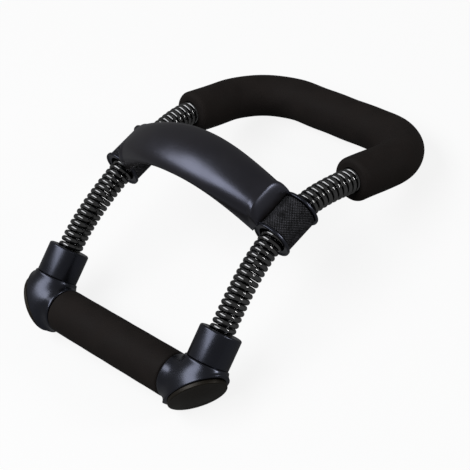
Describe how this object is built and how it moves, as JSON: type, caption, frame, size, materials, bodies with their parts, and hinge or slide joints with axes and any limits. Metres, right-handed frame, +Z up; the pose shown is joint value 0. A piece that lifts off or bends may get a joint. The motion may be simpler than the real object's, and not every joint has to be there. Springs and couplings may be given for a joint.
{
  "type": "wrist trainer",
  "caption": "Wrist exerciser: a foam grip and a U-shaped padded forearm bar joined by coil springs, with an arched cushion that slides along the springs on flanged collars.",
  "frame": {"origin": "middle of the footprint at ground height", "axes": "+X across the wrist, +Y from the handle towards the forearm bar, +Z up from the ground to the cushion"},
  "size_m": [0.1812, 0.2548, 0.0974],
  "materials": {
    "forearm_foam": "matte closed-cell foam",
    "grip_foam": "matte closed-cell foam",
    "pad_skin": "satin moulded foam skin",
    "webbing": "woven webbing",
    "collar": "satin moulded plastic",
    "socket": "satin moulded plastic",
    "elbow": "satin moulded plastic",
    "cap": "matte moulded plastic",
    "spring": "gloss black coated spring steel",
    "steel": "plated steel",
    "bright_steel": "zinc plated steel"
  },
  "bodies": {
    "forearm_bar": {"forearm_foam": "forearm_foam", "forearm_rod": "steel"},
    "spring_pair": {"left_spring": "spring", "right_spring": "spring"},
    "sliding_pad": {"wrist_pad": "pad_skin", "pad_strap": "webbing", "left_collar": "collar", "right_collar": "collar"},
    "handle": {"handle_grip": "grip_foam", "handle_tube": "steel", "left_spring_socket": "socket", "left_elbow": "elbow", "left_corner_cap": "cap", "left_handle_bolt": "bright_steel", "left_bolt_washer": "bright_steel", "left_tube_plug": "bright_steel", "right_spring_socket": "socket", "right_elbow": "elbow", "right_corner_cap": "cap", "right_handle_bolt": "bright_steel", "right_bolt_washer": "bright_steel", "right_tube_plug": "bright_steel"}
  },
  "joints": [
    {"name": "rear_bend", "type": "hinge", "parent": "forearm_bar", "child": "spring_pair", "pos_m": [0, 0.02984, 0.0527], "axis": [1, 0, 0], "range_deg": [-23, 12], "stiffness_Nm_per_rad": 12, "deforming": ["left_spring", "right_spring"]},
    {"name": "front_bend", "type": "hinge", "parent": "spring_pair", "child": "handle", "pos_m": [0, -0.04866, 0.04755], "axis": [1, 0, 0], "range_deg": [-30, 15], "stiffness_Nm_per_rad": 12, "deforming": ["left_spring", "right_spring"]},
    {"name": "pad_slide", "type": "hinge", "parent": "spring_pair", "child": "sliding_pad", "pos_m": [0, 0, -0.08391], "axis": [1, 0, 0], "range_deg": [-4, 6]}
  ]
}
